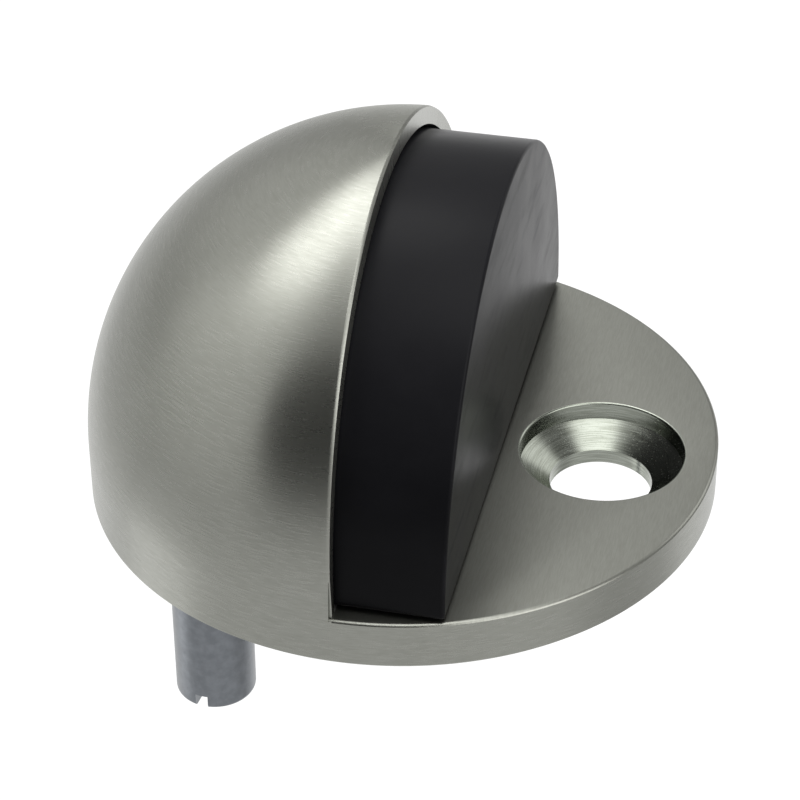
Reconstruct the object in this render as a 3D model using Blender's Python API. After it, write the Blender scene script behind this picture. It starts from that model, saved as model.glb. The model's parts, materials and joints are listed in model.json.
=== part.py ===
"""Half-dome floor door stop: one metal casting, a rubber buffer let into it, and a screwed-in locating pin.

Metres, +Z up. The origin is the centre of the round base, on the face that lies on the floor.
+X points from the dome to the screw hole, the way the buffer faces the door.
"""

import math

import bmesh
import bpy
from mathutils import Matrix

# Body casting
BODY_DIAMETER = 0.045
PLATE_THICKNESS = 0.0037
DOME_SKIRT_HEIGHT = 0.00045
DOME_FACE_X = 0.0002
DOME_FACE_DRAFT = math.radians(1.8)
LIP_WIDTH = 0.0009
LIP_ROLL_DROP = 0.0003
LIP_ROLL_LENGTH = 0.0008
PLATE_EDGE_RADIUS = 0.00035
BASE_CHAMFER = 0.0003
POCKET_DEPTH = 0.003

# Screw hole: a drilled step whose floor keeps the drill's point angle
SCREW_HOLE_RADIUS = 0.00365
SCREW_HEAD_RADIUS = 0.0058
SCREW_HEAD_DEPTH = 0.00135
DRILL_POINT_HALF_ANGLE = math.radians(59)
SCREW_HOLE_SETBACK = 0.0006

# Rubber buffer
BUFFER_FACE_X = 0.0075
BUFFER_EDGE_RADIUS = 0.00025

# Locating pin
PIN_DIAMETER = 0.0062
PIN_LENGTH = 0.0235
PIN_END_CHAMFER = 0.0004
PIN_EDGE_MARGIN = 0.0043
SHANK_DIAMETER = 0.005
SHANK_LENGTH = 0.010
SHANK_CHAMFER = 0.0005
SLOT_WIDTH = 0.001
SLOT_DEPTH = 0.0012
SLOT_DIRECTION = math.radians(84)

# Fits
GAP = 0.0003
TAPPED_HOLE_RUN_OUT = 0.001
CUTTER_OVERLAP = 0.003

# Facets
ROUND_SEGMENTS = 96
SMALL_ROUND_SEGMENTS = 48
QUARTER_ARC_STEPS = 24
FILLET_SEGMENTS = 4
SHARP_ANGLE = math.radians(32)

# Worked out from the sizes above
BODY_RADIUS = BODY_DIAMETER / 2
DOME_CENTRE_HEIGHT = PLATE_THICKNESS + DOME_SKIRT_HEIGHT
BODY_HEIGHT = DOME_CENTRE_HEIGHT + BODY_RADIUS
POCKET_RADIUS = BODY_RADIUS - LIP_WIDTH
BUFFER_RADIUS = POCKET_RADIUS - GAP
SCREW_HOLE_X = (BUFFER_FACE_X + BODY_RADIUS) / 2 - SCREW_HOLE_SETBACK
PIN_RADIUS = PIN_DIAMETER / 2
PIN_X = -(BODY_RADIUS - PIN_EDGE_MARGIN - PIN_RADIUS)
TAPPED_HOLE_RADIUS = SHANK_DIAMETER / 2 + GAP
TAPPED_HOLE_DEPTH = SHANK_LENGTH + TAPPED_HOLE_RUN_OUT


def clear_scene():
    for item in list(bpy.data.objects):
        bpy.data.objects.remove(item, do_unlink=True)


def make_material(name, colour, roughness, metallic):
    material = bpy.data.materials.new(name)
    material.use_nodes = True
    shader = material.node_tree.nodes["Principled BSDF"]
    shader.inputs["Base Color"].default_value = (*colour, 1.0)
    shader.inputs["Roughness"].default_value = roughness
    shader.inputs["Metallic"].default_value = metallic
    return material


def mesh_object(name, bm):
    """Close the bmesh into an object of the scene, with its faces pointing out."""
    bmesh.ops.recalc_face_normals(bm, faces=bm.faces)
    mesh = bpy.data.meshes.new(name)
    bm.to_mesh(mesh)
    bm.free()
    item = bpy.data.objects.new(name, mesh)
    bpy.context.collection.objects.link(item)
    return item


def lathe(name, profile, segments):
    """Turn (radius, height) points, both ends on the axis, once round Z."""
    bm = bmesh.new()
    points = [bm.verts.new((radius, 0.0, height)) for radius, height in profile]
    edges = [bm.edges.new(pair) for pair in zip(points, points[1:])]
    bmesh.ops.spin(
        bm,
        geom=points + edges,
        cent=(0, 0, 0),
        axis=(0, 0, 1),
        angle=math.tau,
        steps=segments,
        use_merge=True,
    )
    bmesh.ops.remove_doubles(bm, verts=bm.verts, dist=1e-7)
    return mesh_object(name, bm)


def half_round(radius, foot_gap):
    """(y, z) points of a half disc that stands on the plate, cut flat this far above the plate."""
    steps = 2 * QUARTER_ARC_STEPS
    start = math.asin(foot_gap / radius)
    angles = [start + (math.pi - 2 * start) * i / steps for i in range(steps + 1)]
    return [(radius * math.cos(a), PLATE_THICKNESS + radius * math.sin(a)) for a in angles]


def prism(name, outline, path):
    """Extrude a closed flat outline along a straight path."""
    bm = bmesh.new()
    face = bm.faces.new([bm.verts.new(point) for point in outline])
    grown = bmesh.ops.extrude_face_region(bm, geom=[face])
    moved = [item for item in grown["geom"] if isinstance(item, bmesh.types.BMVert)]
    bmesh.ops.translate(bm, verts=moved, vec=path)
    return mesh_object(name, bm)


def half_round_block(name, radius, foot_gap, x_start, x_end):
    outline = [(x_start, y, z) for y, z in half_round(radius, foot_gap)]
    return prism(name, outline, (x_end - x_start, 0, 0))


def cut(item, cutter):
    """Subtract the cutter for good, so that later steps can pick the edges it leaves."""
    cutter.hide_render = True
    cutter.display_type = "WIRE"
    modifier = item.modifiers.new("cut", "BOOLEAN")
    modifier.operation = "DIFFERENCE"
    modifier.solver = "EXACT"
    modifier.object = cutter
    evaluated = item.evaluated_get(bpy.context.evaluated_depsgraph_get())
    carved = bpy.data.meshes.new_from_object(evaluated)
    item.modifiers.clear()
    item.data = carved
    bpy.data.objects.remove(cutter, do_unlink=True)


def finish(item, material):
    item.data.materials.clear()
    item.data.materials.append(material)
    item.data.shade_smooth()
    item.data.set_sharp_from_angle(angle=SHARP_ANGLE)


def dome_and_plate():
    """The casting before it is cut away: a disc with straight sides under a hemisphere."""
    quarter = [
        (
            BODY_RADIUS * math.cos(math.pi / 2 * i / QUARTER_ARC_STEPS),
            DOME_CENTRE_HEIGHT + BODY_RADIUS * math.sin(math.pi / 2 * i / QUARTER_ARC_STEPS),
        )
        for i in range(QUARTER_ARC_STEPS)
    ]
    profile = [
        (0.0, 0.0),
        (BODY_RADIUS - BASE_CHAMFER, 0.0),
        (BODY_RADIUS, BASE_CHAMFER),
        (BODY_RADIUS, PLATE_THICKNESS),
        *quarter,
        (0.0, BODY_HEIGHT),
    ]
    return lathe("body_casting", profile, ROUND_SEGMENTS)


def dome_face_x(height):
    """Where the dome's cut face, which leans back by its draft, stands at this height."""
    return DOME_FACE_X - (height - PLATE_THICKNESS) * math.tan(DOME_FACE_DRAFT)


def front_cutter():
    """Everything in front of the dome's face and above the plate."""
    top = BODY_HEIGHT + BODY_RADIUS
    side = [
        (dome_face_x(PLATE_THICKNESS), PLATE_THICKNESS),
        (dome_face_x(top), top),
        (BODY_DIAMETER, top),
        (BODY_DIAMETER, PLATE_THICKNESS),
    ]
    outline = [(x, -BODY_DIAMETER, z) for x, z in side]
    return prism("front_cutter", outline, (0, 2 * BODY_DIAMETER, 0))


def screw_hole_cutter():
    step = PLATE_THICKNESS - SCREW_HEAD_DEPTH
    cone = (SCREW_HEAD_RADIUS - SCREW_HOLE_RADIUS) / math.tan(DRILL_POINT_HALF_ANGLE)
    profile = [
        (0.0, -PLATE_THICKNESS),
        (SCREW_HOLE_RADIUS, -PLATE_THICKNESS),
        (SCREW_HOLE_RADIUS, step - cone),
        (SCREW_HEAD_RADIUS, step),
        (SCREW_HEAD_RADIUS, 2 * PLATE_THICKNESS),
        (0.0, 2 * PLATE_THICKNESS),
    ]
    cutter = lathe("screw_hole_cutter", profile, SMALL_ROUND_SEGMENTS)
    cutter.data.transform(Matrix.Translation((SCREW_HOLE_X, 0, 0)))
    return cutter


def tapped_hole_cutter():
    drill_point = TAPPED_HOLE_RADIUS / math.tan(DRILL_POINT_HALF_ANGLE)
    profile = [
        (0.0, -PLATE_THICKNESS),
        (TAPPED_HOLE_RADIUS, -PLATE_THICKNESS),
        (TAPPED_HOLE_RADIUS, TAPPED_HOLE_DEPTH),
        (0.0, TAPPED_HOLE_DEPTH + drill_point),
    ]
    cutter = lathe("tapped_hole_cutter", profile, SMALL_ROUND_SEGMENTS)
    cutter.data.transform(Matrix.Translation((PIN_X, 0, 0)))
    return cutter


def half_ring(name, section, foot, place):
    """Sweep a closed (radius, distance along the axis) section half a turn about Z, with straight feet."""
    bm = bmesh.new()
    stations = []
    for i in range(ROUND_SEGMENTS // 2 + 1):
        angle = math.tau * i / ROUND_SEGMENTS - math.pi / 2
        stations.append((math.cos(angle), math.sin(angle), 0.0))
    if foot:
        stations = [(0.0, -1.0, -foot), *stations, (0.0, 1.0, -foot)]
    rings = [
        [bm.verts.new((r * along + shift, r * across, z)) for r, z in section]
        for along, across, shift in stations
    ]
    for ring, following in zip(rings, rings[1:]):
        for i in range(len(section)):
            bm.faces.new((ring[i - 1], ring[i], following[i], following[i - 1]))
    bm.faces.new(rings[0])
    bm.faces.new(reversed(rings[-1]))
    bm.transform(place)
    return mesh_object(name, bm)


def rounding_section(edge_radius, edge_height, drop, length):
    """What an arc takes off a rim: it leaves the side this length below the rim, and drops this far in."""
    rounding = (drop**2 + length**2) / (2 * drop)
    sweep = 2 * math.atan2(drop, length)
    foot_height = edge_height - length
    angles = [sweep * i / FILLET_SEGMENTS for i in range(FILLET_SEGMENTS + 1)]
    arc = [
        (edge_radius - rounding + rounding * math.cos(a), foot_height + rounding * math.sin(a))
        for a in angles
    ]
    outside = edge_radius + CUTTER_OVERLAP
    above = edge_height + CUTTER_OVERLAP
    return [*arc, (edge_radius - drop, above), (outside, above), (outside, foot_height)]


def lip_rolling_cutter():
    """Half ring about the dome's centre, tilted with its face, that rolls the dome in to the lip's edge."""
    section = rounding_section(BODY_RADIUS, 0.0, LIP_ROLL_DROP, LIP_ROLL_LENGTH)
    turn = Matrix.Rotation(math.pi / 2 - DOME_FACE_DRAFT, 4, "Y") @ Matrix.Rotation(math.pi, 4, "Z")
    centre = (dome_face_x(DOME_CENTRE_HEIGHT), 0, DOME_CENTRE_HEIGHT)
    return half_ring("lip_rolling_cutter", section, DOME_SKIRT_HEIGHT, Matrix.Translation(centre) @ turn)


def plate_rounding_cutter():
    section = rounding_section(BODY_RADIUS, PLATE_THICKNESS, PLATE_EDGE_RADIUS, PLATE_EDGE_RADIUS)
    return half_ring("plate_rounding_cutter", section, 0.0, Matrix())


def body_casting():
    item = dome_and_plate()
    cut(item, front_cutter())
    cut(item, half_round_block("pocket_cutter", POCKET_RADIUS, 0.0, -POCKET_DEPTH, BODY_DIAMETER))
    cut(item, screw_hole_cutter())
    cut(item, tapped_hole_cutter())
    cut(item, lip_rolling_cutter())
    cut(item, plate_rounding_cutter())
    finish(item, make_material("satin_nickel", (0.50, 0.50, 0.46), 0.32, 1.0))
    return item


def rubber_buffer():
    """A D-shaped block whose tail sits in the pocket, clear of it all round."""
    item = half_round_block("rubber_buffer", BUFFER_RADIUS, GAP, GAP - POCKET_DEPTH, BUFFER_FACE_X)
    bevel = item.modifiers.new("rounded_edges", "BEVEL")
    bevel.limit_method = "ANGLE"
    bevel.angle_limit = SHARP_ANGLE
    bevel.width = BUFFER_EDGE_RADIUS
    bevel.segments = 2
    finish(item, make_material("black_rubber", (0.012, 0.012, 0.013), 0.35, 0.0))
    return item


def slot_cutter():
    floor = SLOT_DEPTH - PIN_LENGTH
    below = -PIN_LENGTH - CUTTER_OVERLAP
    half = SLOT_WIDTH / 2
    section = [(-half, below), (half, below), (half, floor), (-half, floor)]
    outline = [(-PIN_DIAMETER, y, z) for y, z in section]
    cutter = prism("slot_cutter", outline, (2 * PIN_DIAMETER, 0, 0))
    cutter.data.transform(Matrix.Rotation(SLOT_DIRECTION, 4, "Z"))
    return cutter


def locating_pin():
    """Plain round pin, slotted for a screwdriver, under a thinner shank that winds up into the casting."""
    profile = [
        (0.0, -PIN_LENGTH),
        (PIN_RADIUS - PIN_END_CHAMFER, -PIN_LENGTH),
        (PIN_RADIUS, PIN_END_CHAMFER - PIN_LENGTH),
        (PIN_RADIUS, -GAP),
        (SHANK_DIAMETER / 2, -GAP),
        (SHANK_DIAMETER / 2, SHANK_LENGTH - SHANK_CHAMFER),
        (SHANK_DIAMETER / 2 - SHANK_CHAMFER, SHANK_LENGTH),
        (0.0, SHANK_LENGTH),
    ]
    item = lathe("locating_pin", profile, SMALL_ROUND_SEGMENTS)
    cut(item, slot_cutter())
    item.location = (PIN_X, 0, 0)
    finish(item, make_material("zinc_plated_steel", (0.42, 0.44, 0.47), 0.38, 1.0))
    return item


clear_scene()
body_casting()
rubber_buffer()
locating_pin()
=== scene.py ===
"""Half-dome floor door stop: a brushed nickel casting, a rubber buffer and a screwed-in steel pin."""

import json
import math

import bmesh
import bpy
from mathutils import Matrix, Vector


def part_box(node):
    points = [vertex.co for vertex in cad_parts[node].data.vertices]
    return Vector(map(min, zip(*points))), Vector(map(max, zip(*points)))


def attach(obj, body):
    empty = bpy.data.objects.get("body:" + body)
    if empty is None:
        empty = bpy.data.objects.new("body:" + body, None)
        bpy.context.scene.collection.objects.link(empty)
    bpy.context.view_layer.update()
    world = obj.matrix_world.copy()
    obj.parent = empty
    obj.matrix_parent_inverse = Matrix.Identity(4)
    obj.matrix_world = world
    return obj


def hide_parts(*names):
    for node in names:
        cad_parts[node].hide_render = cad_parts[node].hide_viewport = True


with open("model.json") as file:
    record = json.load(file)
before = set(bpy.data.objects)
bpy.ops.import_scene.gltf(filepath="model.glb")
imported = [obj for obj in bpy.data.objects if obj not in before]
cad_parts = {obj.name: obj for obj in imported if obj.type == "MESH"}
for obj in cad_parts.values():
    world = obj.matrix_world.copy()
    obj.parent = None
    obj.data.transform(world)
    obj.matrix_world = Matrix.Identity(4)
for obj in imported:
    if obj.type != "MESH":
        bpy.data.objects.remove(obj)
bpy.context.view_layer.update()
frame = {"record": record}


# ------------------------------------------------------------------------------------------------
# Body casting. Zinc alloy, cast in one piece: half a dome on a round plate, with a pocket in the
# dome's flat face. It is nickel plated and brushed, and one countersunk screw holds it to the floor.

body_low, body_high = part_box("body_casting")
buffer_low, buffer_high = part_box("rubber_buffer")
pin_low, pin_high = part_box("locating_pin")
screw_opening = frame["record"]["physics"]["openings"][0]["box_m"]
screw_low, screw_high = (Vector(corner) for corner in screw_opening)

BODY_RADIUS = (body_high.y - body_low.y) / 2
PLATE_TOP = 0.0037
SKIRT_HEIGHT = 0.00045
DOME_CENTRE_HEIGHT = PLATE_TOP + SKIRT_HEIGHT
DOME_FACE_X = 0.0002
DOME_FACE_DRAFT = math.radians(1.8)
BASE_CHAMFER = 0.0003
EDGE_BREAK_RADIUS = 0.00034
EDGE_BREAK_SWEEP = math.radians(56)
PLATE_EDGE_BREAK = EDGE_BREAK_RADIUS * math.sin(EDGE_BREAK_SWEEP)

POCKET_DEPTH = 0.003
FIT_GAP = 0.0003
POCKET_RADIUS = (buffer_high.y - buffer_low.y) / 2 + FIT_GAP
LIP_ROLL_AT_SIDES = (0.00010, 0.00034)
LIP_ROLL_ON_TOP = (0.00008, 0.00024)
LIP_ROLL_STEPS = 9
LIP_ROLL_POWER = 1.4

SCREW_HOLE_X = (screw_low.x + screw_high.x) / 2
SCREW_HOLE_RADIUS = 0.00365
SCREW_HEAD_RADIUS = 0.0058
SCREW_HEAD_DEPTH = 0.00135
SCREW_EDGE_SCALE = 0.6
SCREW_HEAD_EDGE = SCREW_EDGE_SCALE * PLATE_EDGE_BREAK
DRILL_POINT_HALF_ANGLE = math.radians(59)
RING_PITCH = 0.00017

PIN_X = (pin_low.x + pin_high.x) / 2
TAPPED_HOLE_RADIUS = 0.0028
TAPPED_HOLE_DEPTH = 0.011

TURN_SEGMENTS = 256
HOLE_SEGMENTS = 128
ARC_STEPS = 64
RIM_STEPS = 8
SHARP_ANGLE = math.radians(32)
MERGE_DISTANCE = 1e-7
HAIR = 1e-6

NICKEL_LIGHT = (0.309, 0.313, 0.286)
NICKEL_DARK = (0.272, 0.276, 0.249)
CUT_LIGHT = (0.34, 0.36, 0.32)
CUT_DARK = (0.24, 0.255, 0.22)
BARE_ZINC_LIGHT = (0.20, 0.20, 0.20)
BARE_ZINC_DARK = (0.10, 0.10, 0.10)

DOME, PLATE, SCREW_HOLE, BASE, BARE = range(5)


class Wire:
    """One output in a node tree that can be used in sums: each operator adds its Math node."""

    def __init__(self, board, socket):
        self.board = board
        self.socket = socket

    def math(self, operation, *values):
        return self.board.add("ShaderNodeMath", {"operation": operation}, dict(enumerate(values)))

    def output(self, name):
        return Wire(self.board, self.socket.node.outputs[name])

    def ramp(self, start, end, low=0.0, high=1.0):
        """Goes smoothly from low to high while this value goes from start to end."""
        sockets = {0: self, 1: start, 2: end, 3: low, 4: high}
        return self.board.add("ShaderNodeMapRange", {"interpolation_type": "SMOOTHSTEP"}, sockets)

    def __add__(self, other):
        return self.math("ADD", self, other)

    def __radd__(self, other):
        return self.math("ADD", other, self)

    def __sub__(self, other):
        return self.math("SUBTRACT", self, other)

    def __rsub__(self, other):
        return self.math("SUBTRACT", other, self)

    def __mul__(self, other):
        return self.math("MULTIPLY", self, other)

    def __rmul__(self, other):
        return self.math("MULTIPLY", other, self)

    def __truediv__(self, other):
        return self.math("DIVIDE", self, other)

    def __rtruediv__(self, other):
        return self.math("DIVIDE", other, self)

    def __pow__(self, other):
        return self.math("POWER", self, other)

    def __gt__(self, other):
        return self.math("GREATER_THAN", self, other)


class Board:
    """A node tree, and the one method that adds any node to it."""

    def __init__(self, tree):
        self.tree = tree
        tree.nodes.clear()

    def add(self, kind, settings=None, sockets=None):
        node = self.tree.nodes.new(kind)
        for name, value in (settings or {}).items():
            setattr(node, name, value)
        for key, value in (sockets or {}).items():
            if isinstance(value, Wire):
                self.tree.links.new(value.socket, node.inputs[key])
            else:
                node.inputs[key].default_value = value
        return Wire(self, next(iter(node.outputs), None))

    def vector(self, x, y, z):
        return self.add("ShaderNodeCombineXYZ", None, {0: x, 1: y, 2: z})

    def mix(self, factor, first, second):
        settings = {"data_type": "RGBA"}
        mixed = self.add("ShaderNodeMix", settings, {0: factor, 6: (*first, 1), 7: (*second, 1)})
        return Wire(self, mixed.socket.node.outputs[2])


def grow(name, build, sizes, material):
    """Make a closed mesh with a Geometry Nodes tree whose sizes are named inputs."""
    tree = bpy.data.node_groups.new(name, "GeometryNodeTree")
    board = Board(tree)
    tree.interface.new_socket("Geometry", in_out="OUTPUT", socket_type="NodeSocketGeometry")
    wires = {}
    for label, value in sizes.items():
        kind = "NodeSocketInt" if isinstance(value, int) else "NodeSocketFloat"
        tree.interface.new_socket(label, in_out="INPUT", socket_type=kind)
    entry = tree.nodes.new("NodeGroupInput")
    for label in sizes:
        wires[label] = Wire(board, entry.outputs[label])
    shape = build(board, wires)
    real = board.add("GeometryNodeRealizeInstances", None, {"Geometry": shape})
    painted = board.add("GeometryNodeSetMaterial", None, {"Geometry": real, "Material": material})
    board.add("NodeGroupOutput", None, {0: painted})

    seed = bpy.data.objects.new(name + "_seed", bpy.data.meshes.new(name + "_seed"))
    bpy.context.scene.collection.objects.link(seed)
    modifier = seed.modifiers.new(name, "NODES")
    modifier.node_group = tree
    for socket in tree.interface.items_tree:
        if socket.in_out == "INPUT":
            modifier[socket.identifier] = sizes[socket.name]
    evaluated = seed.evaluated_get(bpy.context.evaluated_depsgraph_get())
    mesh = bpy.data.meshes.new_from_object(evaluated)
    bpy.data.objects.remove(seed)
    piece = bpy.data.objects.new(name, mesh)
    bpy.context.scene.collection.objects.link(piece)
    weld(piece)
    return piece


def weld(piece):
    """Close seams and poles, then point every face out."""
    bm = bmesh.new()
    bm.from_mesh(piece.data)
    bmesh.ops.remove_doubles(bm, verts=bm.verts, dist=MERGE_DISTANCE)
    bmesh.ops.recalc_face_normals(bm, faces=bm.faces)
    bm.to_mesh(piece.data)
    bm.free()


def turned_grid(board, rows, segments, radius_and_height):
    """A grid rolled up about Z: radius_and_height gives the radius and height of a row at an angle."""
    grid_sockets = {"Vertices X": segments + 1, "Vertices Y": rows}
    grid = board.add("GeometryNodeMeshGrid", None, grid_sockets)
    index = board.add("GeometryNodeInputIndex")
    column = (index / rows).math("FLOOR", index / rows)
    row = index - column * rows
    angle = column * math.tau / segments
    radius, height = radius_and_height(row, angle)
    x = radius * angle.math("COSINE", angle)
    y = radius * angle.math("SINE", angle)
    place = board.vector(x, y, height)
    rolled = board.add("GeometryNodeSetPosition", None, {"Geometry": grid, "Position": place})
    merged = {"Geometry": rolled, "Distance": MERGE_DISTANCE}
    return board.add("GeometryNodeMergeByDistance", None, merged)


def turned_blank(board, size):
    """A disc with straight sides and a chamfered foot, under half a sphere."""

    def profile(row, angle):
        lift = (row - 3).math("MAXIMUM", row - 3, 0) / size["Arc Steps"] * (math.pi / 2)
        radius = size["Radius"] * lift.math("COSINE", lift)
        radius = radius - (1.5 - row).math("GREATER_THAN", 1.5 - row, 0) * size["Base Chamfer"]
        radius = radius * (row > 0.5)
        height = (row > 1.5) * size["Base Chamfer"]
        height = height + (row > 2.5) * (size["Dome Centre Height"] - size["Base Chamfer"])
        return radius, height + size["Radius"] * lift.math("SINE", lift)

    return turned_grid(board, size["Arc Steps"] + 4, size["Turn Segments"], profile)


def new_piece(name, bm):
    bmesh.ops.recalc_face_normals(bm, faces=bm.faces)
    mesh = bpy.data.meshes.new(name)
    bm.to_mesh(mesh)
    bm.free()
    piece = bpy.data.objects.new(name, mesh)
    bpy.context.scene.collection.objects.link(piece)
    return piece


def lathe(name, profile, segments, centre_x):
    """Turn (radius, height) points, both ends on the axis, once round an upright axis."""
    bm = bmesh.new()
    points = [bm.verts.new((radius, 0, height)) for radius, height in profile]
    edges = [bm.edges.new(pair) for pair in zip(points, points[1:])]
    turn = {"cent": (0, 0, 0), "axis": (0, 0, 1), "angle": math.tau, "steps": segments}
    bmesh.ops.spin(bm, geom=points + edges, use_merge=True, **turn)
    bmesh.ops.remove_doubles(bm, verts=bm.verts, dist=MERGE_DISTANCE)
    bm.transform(Matrix.Translation((centre_x, 0, 0)))
    return new_piece(name, bm)


def prism(name, outline, path):
    """Extrude a closed flat outline along a straight path."""
    bm = bmesh.new()
    face = bm.faces.new([bm.verts.new(point) for point in outline])
    grown = bmesh.ops.extrude_face_region(bm, geom=[face])
    moved = [item for item in grown["geom"] if isinstance(item, bmesh.types.BMVert)]
    bmesh.ops.translate(bm, verts=moved, vec=path)
    return new_piece(name, bm)


def half_round(radius, foot_gap, steps):
    """(y, z) points of a half disc that stands on the plate, cut flat this far above it."""
    start = math.asin(foot_gap / radius)
    angles = [start + (math.pi - 2 * start) * i / steps for i in range(steps + 1)]
    return [(radius * math.cos(a), PLATE_TOP + radius * math.sin(a)) for a in angles]


def corner_arc(centre_radius, centre_height, rounding, steps):
    angles = [math.pi / 2 * i / steps for i in range(steps + 1)]
    return [
        (centre_radius + rounding * math.cos(a), centre_height + rounding * math.sin(a))
        for a in angles
    ]


def edge_break():
    """(across, down) points where a flat face rolls over a little before its crisp corner."""
    angles = [EDGE_BREAK_SWEEP * i / RIM_STEPS for i in range(RIM_STEPS + 1)]
    return [(EDGE_BREAK_RADIUS * math.sin(a), EDGE_BREAK_RADIUS * (1 - math.cos(a))) for a in angles]


def plate_edge_cutter():
    """Half a ring that breaks the corner of the plate's free edge."""
    beyond = BODY_RADIUS + 0.003
    above = PLATE_TOP + 0.003
    arc = [(BODY_RADIUS - PLATE_EDGE_BREAK + across, PLATE_TOP - down) for across, down in edge_break()]
    section = [*arc, (beyond, arc[-1][1]), (beyond, above), (BODY_RADIUS - PLATE_EDGE_BREAK, above)]
    bm = bmesh.new()
    rings = []
    for i in range(TURN_SEGMENTS // 2 + 1):
        angle = math.tau * i / TURN_SEGMENTS - math.pi / 2
        rings.append([bm.verts.new((r * math.cos(angle), r * math.sin(angle), z)) for r, z in section])
    for ring, following in zip(rings, rings[1:]):
        for i in range(len(section)):
            bm.faces.new((ring[i - 1], ring[i], following[i], following[i - 1]))
    bm.faces.new(rings[0])
    bm.faces.new(reversed(rings[-1]))
    return new_piece("plate_edge_cutter", bm)


def carve(piece, cutter):
    modifier = piece.modifiers.new("carve", "BOOLEAN")
    modifier.operation = "DIFFERENCE"
    modifier.solver = "EXACT"
    modifier.object = cutter
    evaluated = piece.evaluated_get(bpy.context.evaluated_depsgraph_get())
    carved = bpy.data.meshes.new_from_object(evaluated)
    piece.modifiers.clear()
    piece.data = carved
    bpy.data.objects.remove(cutter)


def dome_face_x(height):
    """Where the dome's flat face, which leans back by its draft, stands at this height."""
    return DOME_FACE_X - (height - PLATE_TOP) * math.tan(DOME_FACE_DRAFT)


def front_cutter():
    top = 3 * BODY_RADIUS
    outline = [
        (dome_face_x(PLATE_TOP), -2 * BODY_RADIUS, PLATE_TOP),
        (dome_face_x(top), -2 * BODY_RADIUS, top),
        (2 * BODY_RADIUS, -2 * BODY_RADIUS, top),
        (2 * BODY_RADIUS, -2 * BODY_RADIUS, PLATE_TOP),
    ]
    return prism("front_cutter", outline, (0, 4 * BODY_RADIUS, 0))


def roll_in_the_lip(piece):
    """Ease the dome in over its last stretch behind the flat face, by (drop, length) at each place."""
    forward = Vector((math.cos(DOME_FACE_DRAFT), 0, math.sin(DOME_FACE_DRAFT)))
    foot = Vector((DOME_FACE_X, 0, PLATE_TOP))
    bm = bmesh.new()
    bm.from_mesh(piece.data)
    for step in range(1, LIP_ROLL_STEPS + 1):
        behind = foot - forward * LIP_ROLL_ON_TOP[1] * step / LIP_ROLL_STEPS
        everything = [*bm.verts, *bm.edges, *bm.faces]
        plane = {"plane_co": behind, "plane_no": forward}
        bmesh.ops.bisect_plane(bm, geom=everything, dist=MERGE_DISTANCE, **plane)
    for vertex in bm.verts:
        place = vertex.co
        rise = max(0.0, place.z - DOME_CENTRE_HEIGHT)
        across = Vector((0, place.y, rise))
        if place.z < PLATE_TOP + HAIR or across.length < 0.9 * BODY_RADIUS:
            continue
        up = (rise / BODY_RADIUS) ** 2
        drop, length = (a + (b - a) * up for a, b in zip(LIP_ROLL_AT_SIDES, LIP_ROLL_ON_TOP))
        reach = 1 - (foot - place).dot(forward) / length
        if reach > 0:
            vertex.co = place - across.normalized() * drop * reach**LIP_ROLL_POWER
    bm.to_mesh(piece.data)
    bm.free()


def pocket_cutter():
    outline = [(-POCKET_DEPTH, y, z) for y, z in half_round(POCKET_RADIUS, 0.0, 2 * ARC_STEPS)]
    return prism("pocket_cutter", outline, (2 * BODY_RADIUS, 0, 0))


def screw_hole_cutter():
    step = PLATE_TOP - SCREW_HEAD_DEPTH
    cone = (SCREW_HEAD_RADIUS - SCREW_HOLE_RADIUS) / math.tan(DRILL_POINT_HALF_ANGLE)
    rim = SCREW_HEAD_RADIUS + SCREW_HEAD_EDGE
    edge_arc = [
        (rim - across * SCREW_EDGE_SCALE, PLATE_TOP - down * SCREW_EDGE_SCALE)
        for across, down in reversed(edge_break())
    ]
    profile = [
        (0.0, -PLATE_TOP),
        (SCREW_HOLE_RADIUS, -PLATE_TOP),
        (SCREW_HOLE_RADIUS, step - cone),
        (SCREW_HEAD_RADIUS, step),
        *edge_arc,
        (rim, 2 * PLATE_TOP),
        (0.0, 2 * PLATE_TOP),
    ]
    return lathe("screw_hole_cutter", profile, HOLE_SEGMENTS, SCREW_HOLE_X)


def tapped_hole_cutter():
    drill_point = TAPPED_HOLE_RADIUS / math.tan(DRILL_POINT_HALF_ANGLE)
    profile = [
        (0.0, -PLATE_TOP),
        (TAPPED_HOLE_RADIUS + BASE_CHAMFER, -PLATE_TOP),
        (TAPPED_HOLE_RADIUS + BASE_CHAMFER, 0.0),
        (TAPPED_HOLE_RADIUS, BASE_CHAMFER),
        (TAPPED_HOLE_RADIUS, TAPPED_HOLE_DEPTH),
        (0.0, TAPPED_HOLE_DEPTH + drill_point),
    ]
    return lathe("tapped_hole_cutter", profile, HOLE_SEGMENTS, PIN_X)


def shade_to_form(piece):
    """Smooth shading with crisp corners, and the true sphere's and side's normals on their faces."""
    mesh = piece.data
    mesh.shade_smooth()
    mesh.set_sharp_from_angle(angle=SHARP_ANGLE)
    centre = Vector((0, 0, DOME_CENTRE_HEIGHT))
    normals = [Vector(item.vector) for item in mesh.corner_normals]
    for face in mesh.polygons:
        points = [mesh.vertices[i].co for i in face.vertices]
        on_sphere = all(abs((p - centre).length - BODY_RADIUS) < 10 * HAIR for p in points)
        on_side = all(abs(p.xy.length - BODY_RADIUS) < 10 * HAIR for p in points)
        if on_sphere and min(p.z for p in points) > DOME_CENTRE_HEIGHT - HAIR:
            origin = centre
        elif on_side and abs(face.normal.z) < 0.01:
            origin = None
        else:
            continue
        for corner in face.loop_indices:
            p = mesh.vertices[mesh.loops[corner].vertex_index].co
            out = p - origin if origin else Vector((p.x, p.y, 0))
            normals[corner] = out.normalized()
    mesh.normals_split_custom_set(normals)


def shader_board(name):
    material = bpy.data.materials.new(name)
    material.use_nodes = True
    return material, Board(material.node_tree)


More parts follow.
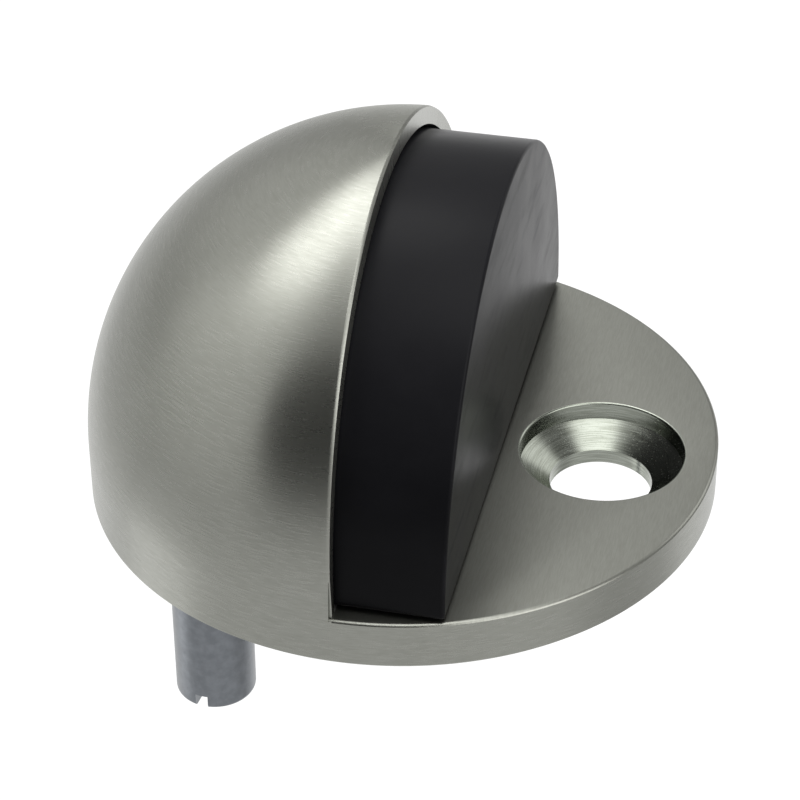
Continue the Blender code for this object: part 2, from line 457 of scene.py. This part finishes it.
def finish_material(board, sockets, height, depth):
    """Close a material: its height goes through a Bump node, and everything into the one shader."""
    bump = board.add("ShaderNodeBump", None, {"Strength": 1.0, "Distance": depth, "Height": height})
    shader = board.add("ShaderNodeBsdfPrincipled", None, {**sockets, "Normal": bump})
    board.add("ShaderNodeOutputMaterial", None, {"Surface": shader})


def noise(board, vector, scale, detail=2.0, roughness=0.5):
    sockets = {"Vector": vector, "Scale": scale, "Detail": detail, "Roughness": roughness}
    return board.add("ShaderNodeTexNoise", None, sockets)


def nickel(name, lay, polish=0.30, depth=4e-6, spread=0.0):
    """Brushed nickel plate. The lay gives two distances along the brush lines and one across."""
    material, board = shader_board(name)
    point = board.add("ShaderNodeTexCoord").output("Object")
    axes = board.add("ShaderNodeSeparateXYZ", None, {0: point})
    slow_a, slow_b, fast = lay(axes.output("X"), axes.output("Y"), axes.output("Z"))
    scratches = noise(board, board.vector(slow_a * 1100, slow_b * 1100, fast * 12000), 1.0, 2.0)
    grooves = noise(board, board.vector(slow_a * 700, slow_b * 700, fast * 5200), 1.0, 2.0)
    clouds = noise(board, point, 170.0, 3.0)
    pits = noise(board, point, 9000.0, 1.0)
    wear = scratches * 0.5 + grooves * 0.35 + clouds * 0.15
    colour = board.mix(wear.ramp(0.34, 0.66), NICKEL_DARK, NICKEL_LIGHT)
    rough = polish + (wear - 0.5) * -0.10 + (clouds - 0.5) * 0.04 + pits.ramp(0.62, 0.78) * 0.08
    height = scratches * 0.55 + grooves * 0.45 + pits.ramp(0.60, 0.80) * -0.25
    sockets = {"Base Color": colour, "Metallic": 1.0, "Roughness": rough}
    if spread:
        sockets.update({"Anisotropic": spread, "Anisotropic Rotation": 0.25})
    finish_material(board, sockets, height, depth)
    return material


def round_the_dome(x, y, z):
    """Brush lines run round the dome, level with the floor."""
    rise = z - DOME_CENTRE_HEIGHT
    flat = (x * x + y * y) ** 0.5
    polar = flat.math("ARCTAN2", flat, rise)
    return x, y, polar * polar.ramp(0.2, 1.0, 0.55, 1.0) * BODY_RADIUS


def across_the_plate(x, y, z):
    """Brush lines run along the plate, side to side in front of the buffer."""
    return y, z, x


def turned_nickel():
    """The drilled and countersunk screw hole: plated over the tool's rings, out of a brush's reach."""
    material, board = shader_board("turned_screw_hole")
    point = board.add("ShaderNodeTexCoord").output("Object")
    axes = board.add("ShaderNodeSeparateXYZ", None, {0: point})
    x, y, z = axes.output("X") - SCREW_HOLE_X, axes.output("Y"), axes.output("Z")
    out = (x * x + y * y) ** 0.5
    chatter = noise(board, board.vector(x * 500, y * 500, (out + z) * 9000), 1.0, 3.0)
    wobble = noise(board, point, 500.0, 2.0)
    turn = (out + wobble * 0.0001) * (math.tau / RING_PITCH)
    rings = turn.math("SINE", turn) * 0.5 + 0.5
    sparks = noise(board, point, 7000.0, 2.0)
    colour = board.mix(chatter.ramp(0.35, 0.65), CUT_DARK, CUT_LIGHT)
    rough = 0.15 + chatter * 0.10 + sparks.ramp(0.5, 0.8) * 0.1
    height = rings * 0.22 + chatter * 0.9
    finish_material(board, {"Base Color": colour, "Metallic": 1.0, "Roughness": rough}, height, 4e-6)
    return material


def round_the_base(x, y, z):
    """Facing marks run round the underside."""
    return x, y, (x * x + y * y) ** 0.5


def as_cast():
    """Bare zinc in the pocket and the tapped hole, where no brush reaches."""
    material, board = shader_board("bare_zinc")
    point = board.add("ShaderNodeTexCoord").output("Object")
    grain = noise(board, point, 2600.0, 4.0)
    clouds = noise(board, point, 400.0, 2.0)
    colour = board.mix(clouds, BARE_ZINC_DARK, BARE_ZINC_LIGHT)
    sockets = {"Base Color": colour, "Metallic": 0.8, "Roughness": 0.55 + grain * 0.2}
    finish_material(board, sockets, grain, 2e-5)
    return material


casting_finishes = [
    nickel("satin_nickel_dome", round_the_dome, 0.28, 2e-6, 0.8),
    nickel("satin_nickel_plate", across_the_plate, 0.30, 4e-6, 0.35),
    turned_nickel(),
    nickel("faced_base", round_the_base, 0.34),
    as_cast(),
]


def zone_of(face):
    """Which finish a face of the casting has, by where it lies."""
    middle = face.center
    from_screw = math.hypot(middle.x - SCREW_HOLE_X, middle.y)
    from_pin = math.hypot(middle.x - PIN_X, middle.y)
    from_pocket = math.hypot(middle.y, middle.z - PLATE_TOP)
    behind_face = -POCKET_DEPTH - HAIR < middle.x < dome_face_x(middle.z) - 10 * HAIR
    if middle.z < HAIR:
        return BASE
    if from_screw < SCREW_HEAD_RADIUS + 1.5 * SCREW_HEAD_EDGE and middle.z < PLATE_TOP - HAIR:
        return SCREW_HOLE
    if from_pin < TAPPED_HOLE_RADIUS + BASE_CHAMFER and middle.z < TAPPED_HOLE_DEPTH * 1.3:
        return BARE
    if from_pocket < POCKET_RADIUS + HAIR and behind_face:
        return BARE
    if middle.x > 0 and face.normal.z > 0.5 and middle.z > PLATE_TOP - EDGE_BREAK_RADIUS:
        return PLATE
    return DOME


blank_sizes = {
    "Radius": BODY_RADIUS,
    "Dome Centre Height": DOME_CENTRE_HEIGHT,
    "Base Chamfer": BASE_CHAMFER,
    "Turn Segments": TURN_SEGMENTS,
    "Arc Steps": ARC_STEPS,
}
casting = grow("door_stop_body", turned_blank, blank_sizes, casting_finishes[DOME])
carve(casting, front_cutter())
roll_in_the_lip(casting)
carve(casting, pocket_cutter())
carve(casting, screw_hole_cutter())
carve(casting, tapped_hole_cutter())
carve(casting, plate_edge_cutter())
weld(casting)
casting.data.materials.clear()
for finish in casting_finishes:
    casting.data.materials.append(finish)
for face in casting.data.polygons:
    face.material_index = zone_of(face)
shade_to_form(casting)
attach(casting, "body")
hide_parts("body_casting")


# ------------------------------------------------------------------------------------------------
# Rubber buffer. Black rubber moulded to a D-shaped block, pushed into the casting's pocket and
# glued there. Its flat front meets the door, so it is scuffed and a little dusty. Its faces that
# point up are painted lighter, as painted light from above.

BUFFER_TAIL_X = buffer_low.x
BUFFER_FACE_X = buffer_high.x
BUFFER_RADIUS = (buffer_high.y - buffer_low.y) / 2
BUFFER_FOOT_GAP = buffer_low.z - PLATE_TOP
BUFFER_EDGE_RADIUS = 0.00025
BUFFER_EDGE_SEGMENTS = 4
BUFFER_ARC_STEPS = 160

RUBBER_BLACK = (0.0035, 0.0035, 0.0042)
RUBBER_DUST_AND_PAINTED_LIGHT = (0.012, 0.012, 0.014)


def black_rubber():
    material, board = shader_board("black_rubber")
    point = board.add("ShaderNodeTexCoord").output("Object")
    axes = board.add("ShaderNodeSeparateXYZ", None, {0: point})
    grain = noise(board, point, 5200.0, 3.0)
    clouds = noise(board, point, 240.0, 4.0, 0.6)
    x, y, z = axes.output("X"), axes.output("Y"), axes.output("Z")
    scuffs = noise(board, board.vector(x * 900, y * 180, z * 900), 1.0, 4.0)
    face = x.ramp(BUFFER_FACE_X - 0.0003, BUFFER_FACE_X - 0.0001)
    facing = board.add("ShaderNodeNewGeometry").output("Normal")
    # Painted light: faces that point up are made lighter, on top of the dusty patches from the clouds.
    up = board.add("ShaderNodeSeparateXYZ", None, {0: facing}).output("Z").ramp(0.1, 0.9)
    dust_and_painted_top_light = clouds.ramp(0.35, 0.80) * (0.15 + face * 0.6) + up * 0.9
    colour = board.mix(dust_and_painted_top_light, RUBBER_BLACK, RUBBER_DUST_AND_PAINTED_LIGHT)
    rough = 0.30 + clouds.ramp(0.25, 0.75) * 0.05 + scuffs.ramp(0.5, 0.75) * face * 0.05
    height = grain * 0.5 + scuffs * 0.3
    sockets = {"Base Color": colour, "Roughness": rough, "IOR": 1.15}
    finish_material(board, sockets, height, 6e-6)
    return material


buffer_section = half_round(BUFFER_RADIUS, BUFFER_FOOT_GAP, BUFFER_ARC_STEPS)
buffer_outline = [(BUFFER_TAIL_X, y, z) for y, z in buffer_section]
buffer = prism("buffer_block", buffer_outline, (BUFFER_FACE_X - BUFFER_TAIL_X, 0, 0))
edges = buffer.modifiers.new("moulded_edges", "BEVEL")
edges.limit_method = "ANGLE"
edges.angle_limit = SHARP_ANGLE
edges.width = BUFFER_EDGE_RADIUS
edges.segments = BUFFER_EDGE_SEGMENTS
moulded = bpy.data.meshes.new_from_object(buffer.evaluated_get(bpy.context.evaluated_depsgraph_get()))
buffer.modifiers.clear()
buffer.data = moulded
buffer.data.materials.clear()
buffer.data.materials.append(black_rubber())
buffer.data.shade_smooth()
buffer.data.set_sharp_from_angle(angle=SHARP_ANGLE)
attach(buffer, "body")
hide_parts("rubber_buffer")


# ------------------------------------------------------------------------------------------------
# Locating pin. Zinc plated steel turned from bar, with a screwdriver slot across its end. It winds
# up into the casting on an M5 thread, and keeps the stop from turning on its screw.

PIN_RADIUS = (pin_high.x - pin_low.x) / 2
PIN_END = pin_low.z
PIN_SHOULDER = -FIT_GAP
PIN_END_ROUNDING = 0.0004
SHOULDER_ROUNDING = 0.0002
SLOT_WIDTH = 0.001
SLOT_DEPTH = 0.0012
SLOT_DIRECTION = math.radians(84)

THREAD_RADIUS = 0.0025
THREAD_PITCH = 0.0008
THREAD_DEPTH = 0.00045
THREAD_TOP = pin_high.z
THREAD_ROWS = 130
THREAD_SEGMENTS = 48
THREAD_SHARP_ANGLE = math.radians(50)

ZINC_LIGHT = (0.195, 0.208, 0.225)
ZINC_DARK = (0.155, 0.166, 0.180)


def zinc_plate():
    material, board = shader_board("zinc_plated_steel")
    point = board.add("ShaderNodeTexCoord").output("Object")
    axes = board.add("ShaderNodeSeparateXYZ", None, {0: point})
    x, y, z = axes.output("X"), axes.output("Y"), axes.output("Z")
    turned = noise(board, board.vector(x * 300, y * 300, z * 9000), 1.0, 2.0)
    spangle = noise(board, point, 1500.0, 3.0)
    spots = noise(board, point, 2400.0, 2.0)
    colour = board.mix(spangle.ramp(0.25, 0.75), ZINC_DARK, ZINC_LIGHT)
    rough = 0.33 + (spangle - 0.5) * 0.06 + spots.ramp(0.6, 0.75) * 0.08
    height = turned * 0.6 + spots * 0.4
    finish_material(board, {"Base Color": colour, "Metallic": 1.0, "Roughness": rough}, height, 3e-6)
    return material


def slot_cutter():
    floor = PIN_END + SLOT_DEPTH
    below = PIN_END - SLOT_DEPTH
    half = SLOT_WIDTH / 2
    section = [(-half, below), (half, below), (half, floor), (-half, floor)]
    cutter = prism("slot_cutter", [(-2 * PIN_RADIUS, y, z) for y, z in section], (4 * PIN_RADIUS, 0, 0))
    cutter.data.transform(Matrix.Translation((PIN_X, 0, 0)) @ Matrix.Rotation(SLOT_DIRECTION, 4, "Z"))
    return cutter


def threaded_shank(board, size):
    """A bar whose radius falls and rises once in each pitch, and runs out to the core at both ends."""

    def profile(row, angle):
        last = size["Rows"] - 1
        along = (row - 1).math("MAXIMUM", row - 1, 0)
        along = along.math("MINIMUM", along, last - 2) / (last - 2)
        height = size["Foot"] + along * (size["Top"] - size["Foot"])
        turns = height / size["Pitch"] - angle / math.tau
        groove = turns.math("PINGPONG", turns, 0.5) * 2
        groove = groove.ramp(0.12, 0.92)
        tip = along.ramp(0.93, 1.0)
        radius = size["Radius"] - size["Depth"] * groove.math("MAXIMUM", groove, tip)
        inside = (row > 0.5) * (last - row > 0.5)
        return radius * inside, height

    return turned_grid(board, size["Rows"], size["Segments"], profile)


zinc = zinc_plate()
end_arc = corner_arc(PIN_RADIUS - PIN_END_ROUNDING, 0.0, PIN_END_ROUNDING, 5)
shoulder_centre = (PIN_RADIUS - SHOULDER_ROUNDING, PIN_SHOULDER - SHOULDER_ROUNDING)
shoulder_arc = corner_arc(*shoulder_centre, SHOULDER_ROUNDING, 4)
pin_profile = [
    (0.0, PIN_END),
    *[(r, PIN_END + PIN_END_ROUNDING - z) for r, z in reversed(end_arc)],
    *shoulder_arc,
    (0.0, PIN_SHOULDER),
]
pin = lathe("pin_body", pin_profile, HOLE_SEGMENTS, PIN_X)
carve(pin, slot_cutter())
weld(pin)
pin.data.materials.clear()
pin.data.materials.append(zinc)
pin.data.shade_smooth()
pin.data.set_sharp_from_angle(angle=SHARP_ANGLE)
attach(pin, "pin")
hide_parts("locating_pin")

thread_sizes = {
    "Radius": THREAD_RADIUS,
    "Depth": THREAD_DEPTH,
    "Pitch": THREAD_PITCH,
    "Foot": PIN_SHOULDER - FIT_GAP,
    "Top": THREAD_TOP,
    "Rows": THREAD_ROWS,
    "Segments": THREAD_SEGMENTS,
}
shank = grow("pin_threaded_shank", threaded_shank, thread_sizes, zinc)
shank.data.transform(Matrix.Translation((PIN_X, 0, 0)))
shank.data.shade_smooth()
shank.data.set_sharp_from_angle(angle=THREAD_SHARP_ANGLE)
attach(shank, "pin")


# ------------------------------------------------------------------------------------------------
# Studio. A pale glowing table well below the stop, and a soft room round it. The table's emission
# is painted with light and shade: a painted pool of light on the left, and painted shade on the
# right, on the far left and towards the front. Softboxes stand behind, above, to the left and to the
# right, and a dark card stands beside the camera.

FLOOR_HEIGHT = -0.12
FLOOR_RADIUS = 3.0
FLOOR_SEGMENTS = 96

camera_data = bpy.data.cameras.new("studio_camera")
camera_data.lens = 125.88
camera_data.sensor_width = 36.0
camera_data.clip_start = 0.01
camera_data.clip_end = 20.0
camera = bpy.data.objects.new("studio_camera", camera_data)
bpy.context.scene.collection.objects.link(camera)
CAMERA_AZIMUTH = math.radians(12.901)
CAMERA_ELEVATION = math.radians(35.127)
CAMERA_ROLL = math.radians(-0.278)
CAMERA_DISTANCE = 0.197118
CAMERA_TARGET = Vector((0.000184, -0.001946, 0.007245))
away = Vector(
    (
        math.sin(CAMERA_AZIMUTH) * math.cos(CAMERA_ELEVATION),
        -math.cos(CAMERA_AZIMUTH) * math.cos(CAMERA_ELEVATION),
        math.sin(CAMERA_ELEVATION),
    )
)
aim = (-away).to_track_quat("-Z", "Y").to_matrix().to_4x4() @ Matrix.Rotation(CAMERA_ROLL, 4, "Z")
camera.matrix_world = Matrix.Translation(CAMERA_TARGET + away * CAMERA_DISTANCE) @ aim
bpy.context.scene.camera = camera

floor_mesh = bmesh.new()
bmesh.ops.create_circle(floor_mesh, cap_ends=True, segments=FLOOR_SEGMENTS, radius=FLOOR_RADIUS)
floor_mesh.transform(Matrix.Translation((0, 0, FLOOR_HEIGHT)))
floor = new_piece("pale_floor", floor_mesh)
floor_material, board = shader_board("pale_table")
point = board.add("ShaderNodeTexCoord").output("Object")
axes = board.add("ShaderNodeSeparateXYZ", None, {0: point})
x, y = axes.output("X"), axes.output("Y")
# Painted light and shade on the table: a painted pool of light on the left, painted shade on the right
# and on the far left, and painted shade towards the front.
painted_light_pool_left = (((x + 0.16) ** 2 + (y + 0.02) ** 2) ** 0.5).ramp(0.02, 0.075, 1.0, 0.0)
right_shade = (((x - 0.13) ** 2 + (y - 0.03) ** 2) ** 0.5).ramp(0.03, 0.09, 1.0, 0.0)
painted_shade_far_left = x.ramp(-0.34, -0.2, 0.68, 1.0)
glow_with_painted_light_and_shade = y.ramp(-0.03, 0.05, 0.82, 0.99) * painted_shade_far_left * (1 - right_shade * 0.6) + painted_light_pool_left * 0.8
table = board.add(
    "ShaderNodeBsdfPrincipled",
    None,
    {
        "Base Color": (0.05, 0.05, 0.05, 1),
        "Roughness": 0.9,
        "Emission Color": board.vector(glow_with_painted_light_and_shade, glow_with_painted_light_and_shade, glow_with_painted_light_and_shade),
        "Emission Strength": 1.0,
    },
)
underside = board.add("ShaderNodeNewGeometry").output("Backfacing")
clear = board.add("ShaderNodeBsdfTransparent")
seen = board.add("ShaderNodeMixShader", None, {0: underside, 1: table, 2: clear})
board.add("ShaderNodeOutputMaterial", None, {"Surface": seen})
floor.data.materials.append(floor_material)

world = bpy.data.worlds.new("studio")
world.use_nodes = True
bpy.context.scene.world = world
sky = Board(world.node_tree)
heading = sky.add("ShaderNodeTexCoord").output("Generated")


def soft_light(azimuth, elevation, inner, outer):
    """1 within the inner angle of a direction, and 0 beyond the outer one, all in degrees."""
    turn, rise = math.radians(azimuth), math.radians(elevation)
    unit = (math.sin(turn) * math.cos(rise), -math.cos(turn) * math.cos(rise), math.sin(rise))
    product = sky.add("ShaderNodeVectorMath", {"operation": "DOT_PRODUCT"}, {0: heading, 1: unit})
    dot = product.output("Value")
    return dot.ramp(math.cos(math.radians(outer)), math.cos(math.radians(inner)))


height = sky.add("ShaderNodeSeparateXYZ", None, {0: heading}).output("Z")
room = height.ramp(-0.1, 1.0, 0.48, 0.20)
key_softbox = soft_light(-101, 58, 0, 16) * 3.2
back_softbox = soft_light(-151, 61, 6, 17) * 3.9
top_softbox = soft_light(56, 82, 13, 21) * 2.3
right_softbox = soft_light(60, 37, 17, 30) * 2.4
corner_softbox = soft_light(141, 33, 9, 18) * 1.3
left_wall = soft_light(-67, 24, 2, 43) * 0.52
back_wall = soft_light(-127, 56, 5, 60) * 0.70
card = soft_light(-8, 26, 31, 35)
lights = key_softbox + back_softbox + top_softbox + left_wall + back_wall
above = (room + lights) * (1 - card) + right_softbox + corner_softbox
below = height.ramp(-0.02, 0.0, 1.0, 0.0)
light = above + below * (0.95 - above)
warmth = sky.vector(light, light, light * 0.985)
background = sky.add("ShaderNodeBackground", None, {"Color": warmth, "Strength": 1.0})
sky.add("ShaderNodeOutputWorld", None, {"Surface": background})
bpy.context.scene.view_settings.view_transform = "Standard"
